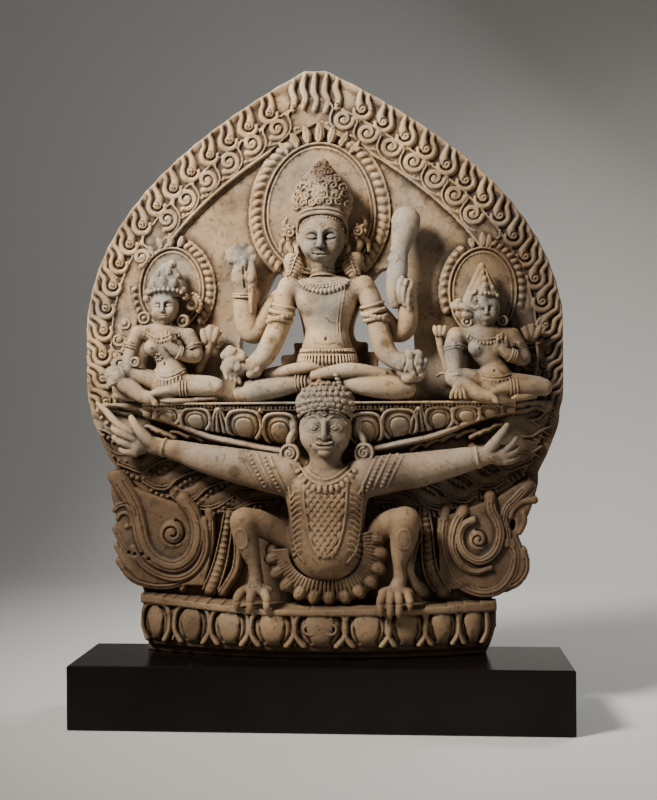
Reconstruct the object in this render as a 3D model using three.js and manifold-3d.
// A carved stone stele on its low black plinth. A four-armed god sits cross-legged on a lotus seat, under a
// pointed arch with a flame border, a band of scrolls and a roped halo. A goddess sits at each side. A winged
// bird-man with outstretched arms carries them all, on a lotus base with claws over its edge.
// The stele is one stone, so it is one solid. The plinth is a second solid that it stands on.
//
// Frame: millimetres, +Z up, +X to the viewer's right, the carved side faces -Y. The origin is at the middle of
// the plinth's underside.

import * as THREE from "three";
import { mergeVertices } from "three/addons/utils/BufferGeometryUtils.js";
import Module from "manifold-3d";

const wasm = await Module();
wasm.setup();

// Driving sizes of the stele
const STELE_HEIGHT = 841; // from its foot to the tip of the arch
const SLAB_THICKNESS = 36; // from the rough back to the plain field behind the figures
const BORDER_RELIEF = 7; // how far the flame border and the scroll band stand in front of the field
const CARVING_RELIEF = 5; // how far flames, scrolls and rims stand in front of the border
const FLAME_UNITS = 13; // flames on each side of the arch
const SCROLL_UNITS = 7; // spirals on each side of the scroll band
const HALO_BEADS = 18; // beads in the rope round the god's halo
const SIDE_HALO_BEADS = 10; // beads in the rope round each goddess's halo
const BASE_PETALS = 9; // lotus petals along the base
const FOOT_LIFT = 10; // how far the petals' lower rim stays above the surface that the stone rests on
const FOOT_INSET = 20; // how far the rough foot stands back from the rim above it

// Driving sizes of the plinth
const PLINTH_HEIGHT = 89;
const PLINTH_SIDE_MARGIN = 0; // how far it passes the stele's widest point on each side
const PLINTH_FRONT_MARGIN = 36; // from its front face to the foremost edge of the lotus base
const PLINTH_BACK_MARGIN = 8; // from the stele's back to its back face
const PLINTH_ARRIS = 1.5; // the worn edge all round
const SEAT_GAP = 0.3; // between the plinth's top and the stone's foot

// The carving's proportions are written in millimetres on a stone of this height, and follow the real height.
const DRAWN_HEIGHT = 841;
const S = STELE_HEIGHT / DRAWN_HEIGHT;
const DRAWN_HALF_WIDTH = 345;
const HALF_WIDTH = 345; // at the widest
const WIDE_AT = 426;
const TIP_X = -11; // the arch leans a little to the viewer's left
const ARCH_POWER = 2.4; // how full the arch is above its widest point
const FLANK_POWER = 2.2; // how fast the flanks draw in below it
const BASE_X = -8; // the middle of the lotus base
const BASE_HALF = 256;
const BASE_TOP = 72;
const BASE_END_OUT = 22; // how far the base stands in front of the field at its ends
const BASE_BOW = 58; // and how much further in the middle
const SEAT_TOP = 361; // the long ledge that the three gods sit on
const OPENING_HALF_WIDTH = 41; // the two openings beside the god's waist
const OPENING_HALF_HEIGHT = 60;
const OPENING_FROM_MIDDLE = 76;
const OPENING_MIDDLE_X = 8;
const OPENING_H = 466;

// Wings, haloes and goddesses move in and out with the stone's edge, and keep their own size.
const spread = (x) => (x * HALF_WIDTH) / DRAWN_HALF_WIDTH;

const STELE_DEPTH = SLAB_THICKNESS + (BASE_END_OUT + BASE_BOW) * S;
const PLINTH_WIDTH = 2 * (HALF_WIDTH * S + PLINTH_SIDE_MARGIN);
const PLINTH_DEPTH = PLINTH_FRONT_MARGIN + STELE_DEPTH + PLINTH_BACK_MARGIN;
const BACK_Y = PLINTH_DEPTH / 2 - PLINTH_BACK_MARGIN;
const FIELD_Y = BACK_Y - SLAB_THICKNESS;
const FOOT_Z = PLINTH_HEIGHT + SEAT_GAP;

// A point of the carving: x across, out towards the viewer from the field, h above the foot.
const at = ([x, out, h]) => new THREE.Vector3(x * S, FIELD_Y - out * S, FOOT_Z + h * S);
const flat = (x, h) => new THREE.Vector2(x * S, h * S);

// A closed three.js geometry as a solid that can be joined and cut.
function solidOf(geometry) {
  const bare = geometry.clone();
  bare.deleteAttribute("normal");
  bare.deleteAttribute("uv");
  const merged = mergeVertices(bare, 1e-4);
  const vertProperties = new Float32Array(merged.attributes.position.array);
  const triVerts = new Uint32Array(merged.index.array);
  return new wasm.Manifold(new wasm.Mesh({ numProp: 3, vertProperties, triVerts }));
}

// Joins solids two by two, so that the large ones are handled only a few times.
function fuse(solids) {
  let left = solids.flat(Infinity);
  while (left.length > 1) {
    const joined = [];
    for (let i = 0; i < left.length; i += 2) {
      joined.push(i + 1 < left.length ? left[i].add(left[i + 1]) : left[i]);
    }
    left = joined;
  }
  return left[0];
}

function geometryOf(solid) {
  const mesh = solid.getMesh();
  const geometry = new THREE.BufferGeometry();
  geometry.setAttribute("position", new THREE.BufferAttribute(new Float32Array(mesh.vertProperties), 3));
  geometry.setIndex(new THREE.BufferAttribute(new Uint32Array(mesh.triVerts), 1));
  const faceted = geometry.toNonIndexed();
  faceted.computeVertexNormals();
  return faceted;
}

// An ellipsoid with its radii across, outwards and upwards, turned in the plane of the slab.
function ball(centre, [across, out, up], turnDeg = 0, segments = 6, rings = 4) {
  const g = new THREE.SphereGeometry(S, segments, rings);
  g.rotateX(Math.PI / 2);
  g.scale(across, out, up);
  g.rotateY(-THREE.MathUtils.degToRad(turnDeg));
  g.translate(...at(centre));
  return solidOf(g);
}

const bead = (centre, radius) => ball(centre, [radius, radius, radius], 0, 4, 2);

// A taper with pointed ends from one point to another.
function limb(from, to, fromRadius, toRadius, sides = 5) {
  const a = at(from);
  const axis = at(to).sub(a);
  const length = axis.length();
  const [ra, rb] = [fromRadius * S, toRadius * S];
  const profile = [
    [0, -ra],
    [ra, 0],
    [rb, length],
    [0, length + rb],
  ].map(([r, y]) => new THREE.Vector2(r, y));
  const g = new THREE.LatheGeometry(profile, sides);
  g.applyQuaternion(new THREE.Quaternion().setFromUnitVectors(new THREE.Vector3(0, 1, 0), axis.normalize()));
  g.translate(...a);
  return solidOf(g);
}

// Limbs through a row of joints, each joint with its radius as a fourth number.
function limbs(joints, sides = 5) {
  return joints.slice(1).map((joint, i) => {
    const before = joints[i];
    return limb(before.slice(0, 3), joint.slice(0, 3), before[3], joint[3], sides);
  });
}

// An arm: one tube with pointed ends through its joints, a ring of corners at each.
function arm(joints, sides = 5) {
  const points = joints.map((joint) => at(joint));
  const radii = joints.map((joint) => joint[3] * S);
  const last = points.length - 1;
  const way = points.slice(1).map((p, i) => p.clone().sub(points[i]).normalize());
  const facing = points.map((_, i) => {
    return way[Math.max(i - 1, 0)].clone().add(way[Math.min(i, last - 1)]).normalize();
  });
  const corners = [points[0].clone().addScaledVector(way[0], -radii[0])];
  points.forEach((p, i) => {
    const aside = new THREE.Vector3(0, -1, 0).projectOnPlane(facing[i]).normalize();
    const across = new THREE.Vector3().crossVectors(facing[i], aside);
    for (let k = 0; k < sides; k++) {
      const a = (2 * Math.PI * k) / sides;
      const corner = p.clone().addScaledVector(aside, radii[i] * Math.cos(a));
      corners.push(corner.addScaledVector(across, radii[i] * Math.sin(a)));
    }
  });
  corners.push(points[last].clone().addScaledVector(way[last - 1], radii[last]));
  const faces = [];
  const ringCorner = (ring, k) => 1 + ring * sides + (k % sides);
  for (let k = 0; k < sides; k++) {
    faces.push(0, ringCorner(0, k + 1), ringCorner(0, k));
    for (let ring = 0; ring < last; ring++) {
      const [a, b] = [ringCorner(ring, k), ringCorner(ring, k + 1)];
      const [c, d] = [ringCorner(ring + 1, k), ringCorner(ring + 1, k + 1)];
      faces.push(a, b, c, b, d, c);
    }
    faces.push(corners.length - 1, ringCorner(last, k), ringCorner(last, k + 1));
  }
  const g = new THREE.BufferGeometry().setFromPoints(corners);
  g.setIndex(faces);
  return solidOf(g);
}

// An upright turned form, flattened towards the slab. Its profile gives [height, radius] from the bottom up.
function turned(x, out, profile, flatten, sides = 8) {
  const points = profile.map(([h, r]) => new THREE.Vector2(r * S, h * S));
  const g = new THREE.LatheGeometry(points, sides);
  g.rotateX(Math.PI / 2);
  g.scale(1, flatten, 1);
  g.translate(x * S, FIELD_Y - out * S, FOOT_Z);
  return solidOf(g);
}

// A flat shape in the plane of the slab, from one distance in front of the field to another.
function relief(shape, fromOut, toOut) {
  const g = new THREE.ExtrudeGeometry(shape, { depth: toOut - fromOut, bevelEnabled: false });
  g.rotateX(Math.PI / 2);
  g.translate(0, FIELD_Y - fromOut, FOOT_Z);
  return solidOf(g);
}

// A flat shape seen from above, between two heights above the foot.
function layer(shape, fromHeight, toHeight) {
  const g = new THREE.ExtrudeGeometry(shape, { depth: toHeight - fromHeight, bevelEnabled: false });
  g.translate(0, 0, FOOT_Z + fromHeight);
  return solidOf(g);
}

function ellipsePoints(x, h, across, up, count) {
  return Array.from({ length: count }, (_, i) => {
    const a = (2 * Math.PI * i) / count;
    return flat(x + across * Math.cos(a), h + up * Math.sin(a));
  });
}

// A raised strip with a crest: rows of plane points down its left edge, its crest and its right edge, as seen
// from its start. The edges lie a little inside the ground, and crestOut(i) is the crest's height there.
function ridge(left, crest, right, ground, crestOut) {
  const corners = crest.flatMap((c, i) => {
    const place = (p, out) => new THREE.Vector3(p.x, FIELD_Y - out, FOOT_Z + p.y);
    return [place(left[i], ground), place(c, crestOut(i)), place(right[i], ground)];
  });
  const faces = [0, 2, 1];
  for (let i = 0; i < 3 * (crest.length - 1); i += 3) {
    for (const [a, b] of [[0, 1], [1, 2], [2, 0]]) {
      faces.push(i + a, i + b, i + a + 3, i + b, i + b + 3, i + a + 3);
    }
  }
  const end = 3 * (crest.length - 1);
  faces.push(end, end + 1, end + 2);
  const g = new THREE.BufferGeometry().setFromPoints(corners);
  g.setIndex(faces);
  return solidOf(g);
}

// A crested strip along a plane curve: centre(u) gives [x, h], width(u) its full width, for u from 0 to 1.
function tendril(centre, width, steps, ground, crestOut) {
  const [left, crest, right] = [[], [], []];
  const reach = 0.02;
  for (let i = 0; i <= steps; i++) {
    const u = i / steps;
    const [x, h] = centre(u);
    const [xa, ha] = centre(u - reach);
    const [xb, hb] = centre(u + reach);
    const along = Math.hypot(xb - xa, hb - ha);
    const [nx, nh] = [(ha - hb) / along, (xb - xa) / along];
    const half = width(u) / 2;
    left.push(flat(x + nx * half, h + nh * half));
    crest.push(flat(x, h));
    right.push(flat(x - nx * half, h - nh * half));
  }
  return ridge(left, crest, right, ground, () => crestOut);
}

// A crested spiral that starts at its outer end at startDeg and winds inwards.
function spiral(x, h, radius, { turns, startDeg, hand, width, inner, steps, ground, crestOut }) {
  const start = THREE.MathUtils.degToRad(startDeg);
  const centre = (u) => {
    const a = start + hand * u * turns * 2 * Math.PI;
    const r = radius * (1 - (1 - inner) * u);
    return [x + r * Math.cos(a), h + r * Math.sin(a)];
  };
  return tendril(centre, (u) => width * (1 - 0.3 * u), steps, ground, crestOut);
}

// The arch: half width at a height, and a point on it that can move inwards, square to the edge.
function halfWidth(h) {
  const t = Math.min(1, Math.abs(h - WIDE_AT) / (DRAWN_HEIGHT - WIDE_AT));
  return HALF_WIDTH * (1 - t ** (h > WIDE_AT ? ARCH_POWER : FLANK_POWER));
}

function archPoint(side, h, inset = 0) {
  const lean = (height) => TIP_X * Math.max(0, (height - WIDE_AT) / (DRAWN_HEIGHT - WIDE_AT)) ** 2;
  const edge = (height) => [lean(height) + side * halfWidth(height), height];
  const step = 2;
  const [xa, ha] = edge(Math.max(h - step, 0));
  const [xb, hb] = edge(Math.min(h + step, DRAWN_HEIGHT));
  const along = Math.hypot(xb - xa, hb - ha);
  const [tx, th] = [(xb - xa) / along, (hb - ha) / along];
  const [x, height] = edge(h);
  return [x - side * inset * Math.abs(th), height - inset * Math.abs(tx) * Math.sign(h - WIDE_AT)];
}

// Heights of points spread evenly along one side of the arch, from one height to another. A fraction before the
// first or after the last goes on at the same pace.
function evenHeights(fromHeight, toHeight, fractions) {
  const fine = 200;
  const heights = Array.from({ length: fine + 1 }, (_, i) => fromHeight + ((toHeight - fromHeight) * i) / fine);
  const lengths = [0];
  for (let i = 1; i <= fine; i++) {
    const step = Math.hypot(heights[i] - heights[i - 1], halfWidth(heights[i]) - halfWidth(heights[i - 1]));
    lengths.push(lengths[i - 1] + step);
  }
  return fractions.map((fraction) => {
    if (fraction < 0) {
      return fromHeight + fraction * lengths[fine];
    }
    const i = Math.max(1, lengths.findIndex((l) => l >= fraction * lengths[fine] - 1e-9));
    const part = (fraction * lengths[fine] - lengths[i - 1]) / (lengths[i] - lengths[i - 1]);
    return heights[i - 1] + (heights[i] - heights[i - 1]) * part;
  });
}

const evenly = (count) => Array.from({ length: count }, (_, i) => i / (count - 1));

// The whole arch as points, clockwise from its lower left, moved inwards by an inset.
function archOutline(fromHeight, inset, count) {
  const tip = DRAWN_HEIGHT - inset * 1.12;
  const heights = evenHeights(fromHeight, DRAWN_HEIGHT - 4, evenly(count));
  const side = (s) => heights.map((h) => archPoint(s, h, inset));
  const clear = 6;
  const below = (p) => p[1] < tip - 2 && Math.abs(p[0] - TIP_X) > clear;
  const left = side(-1).filter(below);
  const right = side(1).filter(below).reverse();
  return [...left, [TIP_X, tip], ...right].map(([x, h]) => flat(x, h));
}

const FLAME_ZONE = 38; // width of the flame border
const SCROLL_ZONE = 36; // width of the band of scrolls inside it
const RIM = 4;
const BORDER_FROM = 350; // the border ends behind the long ledge

function slab() {
  const rightFlank = [
    [307, 259],
    [303, 228],
    [290, 180],
    [293, 142],
    [276, 98],
    [240, 62],
  ];
  const leftFlank = [
    [-250, 62],
    [-288, 112],
    [-304, 152],
    [-306, 200],
    [-312, 245],
    [-300, 268],
  ];
  const [right, left] = [rightFlank, leftFlank].map((flank) => flank.map(([x, h]) => flat(spread(x), h)));
  const outline = [...left, ...archOutline(300, 2, 13), ...right];
  return relief(new THREE.Shape(outline), -SLAB_THICKNESS, 0);
}

// The border: a strip of cross-sections along the arch, two to each flame, one on its crest and one in the
// hollow beside it. Each section goes from the arch's back edge over the flames, the rim and the floor of the
// scroll band to the field. Flames lean upwards and waver because a section's points lie lower the further in
// they are.
function border() {
  const low = BORDER_RELIEF - 3.5;
  const rim = BORDER_RELIEF + CARVING_RELIEF;
  const inner = FLAME_ZONE + RIM + SCROLL_ZONE;
  const section = (crest) => [
    [0, -SLAB_THICKNESS + 0.5, 0],
    [0, crest ? low + 3 : low, 0],
    [15, crest ? rim + 1 : low, 17],
    [FLAME_ZONE - 5, crest ? rim : low, 25],
    [FLAME_ZONE, rim, 30],
    [FLAME_ZONE + RIM, BORDER_RELIEF, 31],
    [inner, BORDER_RELIEF, 40],
    [inner, -SLAB_THICKNESS + 0.5, 40],
  ];
  const count = 2 * FLAME_UNITS;
  const clearOfTip = 9;
  const archLength = 670;
  const pointsOf = (side, i) => {
    return section(i % 2 === 0).map(([inset, out, behind]) => {
      const fraction = i / count - behind / archLength;
      const [height] = evenHeights(BORDER_FROM, DRAWN_HEIGHT - clearOfTip, [fraction]);
      const [x, h] = archPoint(side, height, inset);
      return at([x, 0, h]).setY(FIELD_Y - out);
    });
  };
  const tip = section(true).map(([inset, out]) => {
    return at([TIP_X, 0, DRAWN_HEIGHT - inset * 1.12]).setY(FIELD_Y - out);
  });
  const sideColumns = (side) => Array.from({ length: count + 1 }, (_, i) => pointsOf(side, i));
  const columns = [...sideColumns(-1), tip, ...sideColumns(1).reverse()];
  const rows = tip.length;
  const faces = [];
  for (let c = 0; c < columns.length - 1; c++) {
    for (let r = 0; r < rows; r++) {
      const [a, b] = [c * rows + r, c * rows + ((r + 1) % rows)];
      faces.push(a, b, a + rows, b, b + rows, a + rows);
    }
  }
  const end = (columns.length - 1) * rows;
  for (let r = 1; r < rows - 1; r++) {
    faces.push(0, r + 1, r, end, end + r, end + r + 1);
  }
  const g = new THREE.BufferGeometry().setFromPoints(columns.flat());
  g.setIndex(faces);
  return solidOf(g);
}

function scrolls() {
  return [-1, 1].flatMap((side) => {
    return evenHeights(560, DRAWN_HEIGHT - 40, evenly(SCROLL_UNITS)).map((h) => {
      const [x, height] = archPoint(side, h, FLAME_ZONE + RIM / 2 + SCROLL_ZONE / 2);
      const winding = { turns: 1.2, startDeg: side > 0 ? 240 : -60, hand: -side, width: 8, inner: 0.2, steps: 5 };
      const heights = { ground: BORDER_RELIEF - 1, crestOut: BORDER_RELIEF + CARVING_RELIEF };
      return spiral(x, height, 14, { ...winding, ...heights });
    });
  });
}

// The roped rim round a head: an arc of beads with a notch between each two.
function halo(x, h, across, up, beads, beadSize, fromDeg, toDeg) {
  const arc = (grow) => {
    return Array.from({ length: 2 * beads + 1 }, (_, i) => {
      const a = THREE.MathUtils.degToRad(fromDeg + ((toDeg - fromDeg) * i) / (2 * beads));
      return flat(x + (across + grow(i)) * Math.cos(a), h + (up + grow(i)) * Math.sin(a));
    });
  };
  const notched = (high, low) => (i) => (i % 2 ? high : low);
  const inner = arc(() => -RIM);
  const crest = arc(() => beadSize / 2);
  const outer = arc(notched(beadSize, beadSize * 0.6));
  const heights = notched(BORDER_RELIEF + CARVING_RELIEF, BORDER_RELIEF);
  return ridge(inner, crest, outer, -1, heights);
}

const seatFront = (x) => 34 + 26 * (1 - (x / 290) ** 2);
const baseFront = (x) => BASE_END_OUT + BASE_BOW * (1 - ((x - BASE_X) / BASE_HALF) ** 2);

// A plan shape with a bowed front, whose front edge is moved back by an amount.
function bowShape(fromX, toX, front, back, steps) {
  const points = Array.from({ length: steps + 1 }, (_, i) => {
    const x = fromX + ((toX - fromX) * i) / steps;
    return new THREE.Vector2(x * S, FIELD_Y - (front(x) - back) * S);
  });
  const behind = FIELD_Y + SLAB_THICKNESS / 2;
  return new THREE.Shape([...points, new THREE.Vector2(toX * S, behind), new THREE.Vector2(fromX * S, behind)]);
}

function seat() {
  const [from, to] = [spread(-292), spread(300)];
  const ledge = layer(bowShape(from, to, seatFront, 0, 8), (SEAT_TOP - 9) * S, SEAT_TOP * S);
  const drum = layer(bowShape(from + 2, to - 2, seatFront, 9, 8), (SEAT_TOP - 40) * S, (SEAT_TOP - 8) * S);
  const petal = (x, h, across, up) => ball([x, seatFront(x) - 12, h], [across, 15, up], 0, 5, 3);
  const large = [-112, -58, 66, 122].map((x) => petal(x, 325, 28, 28));
  const small = [-213, -172, 188, 232].map((x) => petal(x, 338, 18, 16));
  return [ledge, drum, ...large, ...small];
}

function base() {
  const [from, to] = [BASE_X - BASE_HALF, BASE_X + BASE_HALF];
  const ledge = layer(bowShape(from, to, baseFront, 0, 9), (BASE_TOP - 11) * S, BASE_TOP * S);
  const body = layer(bowShape(from + 6, to - 6, baseFront, 9, 9), FOOT_LIFT, (BASE_TOP - 10) * S);
  const foot = layer(bowShape(from + 24, to - 24, baseFront, FOOT_INSET, 6), 0, FOOT_LIFT + 1);
  const corners = [
    [from + 20, 0],
    [to - 20, 0],
    [to - 10, 60],
    [from + 10, 60],
  ].map(([x, h]) => flat(x, h));
  const back = relief(new THREE.Shape(corners), -SLAB_THICKNESS, 0);
  const pitch = (2 * BASE_HALF - 6) / BASE_PETALS;
  const petals = Array.from({ length: BASE_PETALS }, (_, i) => {
    const x = from + 3 + pitch * (i + 0.5);
    return ball([x, baseFront(x) - 12, 36], [pitch * 0.5, 16, 27], 0, 5, 3);
  });
  return [ledge, body, foot, back, ...petals];
}

// Ropes, tendrils and volutes below the wings.
function tails() {
  const volutes = [
    [-222, 164, 66, -1, 60, 1.6, 26, 24],
    [218, 162, 64, 1, 120, 1.6, 26, 24],
    [-284, 226, 22, -1, 90, 0.9, 13, 18],
    [272, 216, 22, 1, 90, 0.9, 13, 18],
  ].map(([x, h, radius, hand, startDeg, turns, width, out]) => {
    const winding = { turns, startDeg, hand, width, inner: 0.15, steps: Math.round(5 * turns) };
    return spiral(x, h, radius, { ...winding, ground: -1, crestOut: out });
  });
  const hearts = [-222, 218].map((x) => ball([x, 14, 165], [24, 14, 24], 0, 5, 3));
  const strands = [
    limb([-136, 6, 186], [-158, 10, 92], 13, 17, 4),
    limb([-172, 4, 190], [-190, 6, 92], 8, 12, 4),
    limb([152, 6, 186], [158, 10, 92], 13, 17, 4),
    limb([180, 4, 190], [188, 6, 92], 9, 13, 4),
  ];
  return [volutes, hearts, strands];
}

// One wing: its flat, its upper rib and the long feathers under the arm.
function wing(side) {
  const mirror = (x) => spread(8 + side * (x - 8));
  const corners = [
    [60, 298],
    [180, 330],
    [300, 362],
    [334, 356],
    [322, 306],
    [300, 266],
    [262, 236],
    [212, 210],
    [150, 199],
    [60, 206],
  ].map(([x, h]) => flat(mirror(x), h));
  const sheet = relief(new THREE.Shape(side > 0 ? corners : corners.reverse()), -2, 12 * S);
  const rib = arm([
    [mirror(74), 16, 294, 10],
    [mirror(220), 14, 330, 10],
    [mirror(296), 12, 356, 9],
  ], 4);
  const feathers = [
    [122, 228, 40],
    [184, 234, 42],
    [238, 262, 40],
    [286, 306, 34],
  ].map(([x, h, length]) => ball([mirror(x), 10, h], [length, 11, 15], side * 26, 5, 3));
  return [sheet, rib, feathers];
}

// The bird-man who carries the gods.
function birdMan() {
  const torso = turned(7, 34, [
    [106, 0],
    [114, 30],
    [134, 52],
    [168, 57],
    [200, 54],
    [236, 58],
    [250, 67],
    [266, 58],
    [282, 0],
  ], 0.72, 9);
  const scales = [184, 210].flatMap((h, row) => {
    return (row % 2 ? [-1, 0, 1] : [-0.5, 0.5]).map((i) => {
      return ball([7 + i * 26, 72 - Math.abs(i) * 6, h], [11, 8, 11], 45, 4, 2);
    });
  });
  const head = [
    limb([7, 40, 256], [7, 46, 296], 24, 24),
    ball([6.5, 50, 324], [36, 28, 42], 0, 8, 4),
    ball([7, 44, 354], [43, 32, 36], 0, 7, 4),
    bead([7, 77, 320], 8),
    ball([-9, 72, 333], [11, 9, 8], 0, 4, 2),
    ball([23, 72, 333], [11, 9, 8], 0, 4, 2),
  ];
  const earDiscs = [-39, 55].map((x) => {
    return relief(new THREE.Shape(ellipsePoints(x + Math.sign(x) * 2, 288, 15, 15, 7)), 24 * S, 56 * S);
  });
  const arms = [
    arm([[-40, 36, 252, 27], [spread(-148), 32, 276, 19], [spread(-234), 26, 297, 13]]),
    arm([[54, 36, 250, 27], [spread(158), 32, 270, 19], [spread(230), 28, 286, 14]]),
  ];
  const leftHand = [
    ball([spread(-266), 26, 310], [24, 12, 17], -25, 5, 3),
    limb([spread(-256), 26, 318], [spread(-263), 26, 335], 6, 4, 4),
    ...[0, 1, 2].map((i) => {
      return limb([spread(-280), 26, 306 + 6 * i], [spread(-311 + 5 * i), 24, 316 + 12 * i], 6, 4, 4);
    }),
  ];
  const rightHand = [
    ball([spread(252), 28, 293], [15, 12, 14], -20, 5, 3),
    limb([spread(250), 28, 302], [spread(263), 26, 325], 7, 4, 4),
    limb([spread(262), 26, 294], [spread(282), 24, 300], 7, 4, 4),
  ];
  return [torso, scales, head, earDiscs, arms, leftHand, rightHand, leg(-1), leg(1), fringe()];
}

// A bird's leg: thigh out to a high knee, a tapering shank, and three clawed toes over the base's edge.
function leg(side) {
  const mirror = (x) => 8 + side * (x - 8);
  const shank = limbs([
    [mirror(50), 28, 168, 30],
    [mirror(116), 42, 190, 25],
    [mirror(104), 48, 124, 10],
    [mirror(103), 54, 92, 11],
  ]);
  const toes = [
    [126, 66],
    [104, 76],
    [84, 72],
  ].map(([x, out]) => limb([mirror(104 + (x - 104) * 0.5), 62, 92], [mirror(x), out, 66], 9, 4, 4));
  return [shank, toes];
}

// The round tail feathers that hang in an arc below the belly.
function fringe() {
  const count = 6;
  return Array.from({ length: count }, (_, i) => {
    const a = THREE.MathUtils.degToRad(198 + (144 * i) / (count - 1));
    return ball([10 + 78 * Math.cos(a), 18, 172 + 80 * Math.sin(a)], [20, 22, 20], 0, 4, 3);
  });
}

// The four-armed god, with a ridge for the belt and one for the necklace.
function god() {
  const torso = turned(8, 20, [
    [394, 0],
    [404, 44],
    [420, 43],
    [428, 50],
    [440, 42],
    [464, 31],
    [506, 45],
    [518, 50],
    [532, 40],
    [550, 0],
  ], 0.9);
  const head = [
    limb([3, 20, 530], [1, 28, 572], 18, 16),
    ball([-0.5, 28, 592], [31, 33, 40], 0, 8, 5),
    turned(-1, 24, [
      [612, 0],
      [622, 38],
      [644, 43],
      [672, 28],
      [696, 12],
      [710, 0],
    ], 0.95),
    limb([-30, 16, 582], [-42, 14, 558], 9, 11, 4),
    limb([30, 16, 582], [44, 14, 558], 9, 11, 4),
    ball([-47, 8, 602], [15, 18, 14], 0, 4, 3),
    ball([55, 8, 602], [15, 18, 14], 0, 4, 3),
  ];
  const frontArms = [
    arm([[-50, 22, 518, 18], [-69, 30, 458, 15], [-106, 38, 422, 11]]),
    arm([[62, 22, 518, 18], [80, 30, 460, 15], [106, 38, 423, 11]]),
    ball([-127, 38, 416], [18, 17, 20], 0, 5, 4),
    ball([125, 38, 417], [20, 16, 19], 20, 5, 3),
  ];
  const backArms = [
    limbs([[-56, 6, 514, 15], [-102, 8, 458, 14], [-121, 8, 550, 12]], 4),
    ball([-123, 10, 580], [22, 14, 20], 0, 5, 3),
    limbs([[66, 6, 514, 15], [114, 8, 456, 14], [112, 10, 512, 15]], 4),
    arm([[107, 10, 512, 14], [108, 10, 560, 12], [118, 10, 618, 20]]),
  ];
  const legs = [
    arm([[0, 24, 392, 24], [-115, 32, 380, 18]]),
    limb([-115, 32, 380], [-24, 42, 384], 18, 12),
    arm([[14, 24, 392, 24], [123, 32, 381, 18]]),
    limb([123, 32, 381], [34, 42, 383], 18, 12),
    limb([-64, 40, 404], [-4, 46, 408], 9, 10, 4),
    limb([14, 46, 402], [80, 40, 398], 10, 9, 4),
  ];
  return [torso, head, frontArms, backArms, legs];
}

// A goddess in the pose of ease: one knee raised at the viewer's left, the other leg flat on the seat.
function goddess({ x, h, crown, turn }) {
  const p = (dx, out, dh, r) => [x + dx, out, h + dh, ...(r ? [r] : [])];
  const torso = turned(x, 10, [
    [h - 112, 0],
    [h - 104, 30],
    [h - 80, 21],
    [h - 50, 31],
    [h - 36, 13],
    [h - 16, 0],
  ], 1, 6);
  const head = [
    ball(p(turn, 18, -3), [19, 21, 24], 0, 6, 4),
    ball(p(turn, 12, 18), [25, 19, 17], 0, 5, 3),
    ball(p(turn, 10, 42), [crown, 13, 24], 0, 5, 3),
  ];
  const breasts = [bead(p(-14, 34, -58), 13), bead(p(13, 34, -58), 13)];
  const arms = [
    arm([p(-35, 12, -44, 11), p(-46, 20, -86, 10), p(-44, 28, -120, 8)], 4),
    arm([p(34, 12, -46, 11), p(47, 20, -82, 10), p(2, 36, -56, 8)], 4),
  ];
  const legs = [
    limbs([p(0, 14, -116, 16), p(-70, 18, -94, 14), p(-26, 28, -132, 10)], 4),
    limbs([p(10, 16, -120, 14), p(78, 18, -124, 11), p(10, 28, -130, 9)], 4),
  ];
  const lotus = ball(p(60, 4, -48), [13, 14, 24], 0, 4, 3);
  return [torso, head, breasts, arms, legs, lotus];
}

function stele() {
  const openings = [-1, 1].map((side) => {
    const x = OPENING_MIDDLE_X + side * OPENING_FROM_MIDDLE;
    const shape = new THREE.Shape(ellipsePoints(x, OPENING_H, OPENING_HALF_WIDTH, OPENING_HALF_HEIGHT, 10));
    return relief(shape, -2 * SLAB_THICKNESS, 4 * BORDER_RELIEF);
  });
  const pierced = fuse([slab(), border()]).subtract(fuse(openings));
  const dressing = [
    scrolls(),
    halo(-1.5, 632, 88, 98, HALO_BEADS, 11, -32, 212),
    halo(spread(-224), 533, 49, 57, SIDE_HALO_BEADS, 9, -30, 205),
    halo(spread(228), 530, 49, 57, SIDE_HALO_BEADS, 9, -25, 210),
  ];
  const figures = [
    god(),
    goddess({ x: spread(-227), h: 506, crown: 17, turn: -4 }),
    goddess({ x: spread(233), h: 500, crown: 13, turn: -5 }),
    birdMan(),
    wing(-1),
    wing(1),
    tails(),
    seat(),
    base(),
  ];
  return fuse([pierced, ...dressing, ...figures]);
}

// The black plinth: a plain box with its edges taken off all round.
function plinth() {
  const a = PLINTH_ARRIS;
  const [w, d] = [PLINTH_WIDTH / 2 - a, PLINTH_DEPTH / 2 - a];
  const plan = new THREE.Shape([[-w, -d], [w, -d], [w, d], [-w, d]].map(([x, y]) => new THREE.Vector2(x, y)));
  const bevel = { bevelEnabled: true, bevelThickness: a, bevelSize: a, bevelSegments: 1 };
  const g = new THREE.ExtrudeGeometry(plan, { depth: PLINTH_HEIGHT - 2 * a, ...bevel });
  g.translate(0, 0, a);
  return solidOf(g);
}

function node(name, solid, material) {
  const mesh = new THREE.Mesh(geometryOf(solid), material);
  mesh.name = name;
  return mesh;
}

const stone = new THREE.MeshStandardMaterial({ color: 0x9c8a6c, roughness: 0.85, metalness: 0 });
const blackStone = new THREE.MeshStandardMaterial({ color: 0x0b0a0a, roughness: 0.25, metalness: 0 });

const model = new THREE.Group();
model.add(node("stele", stele(), stone));
model.add(node("plinth", plinth(), blackStone));

export default model;
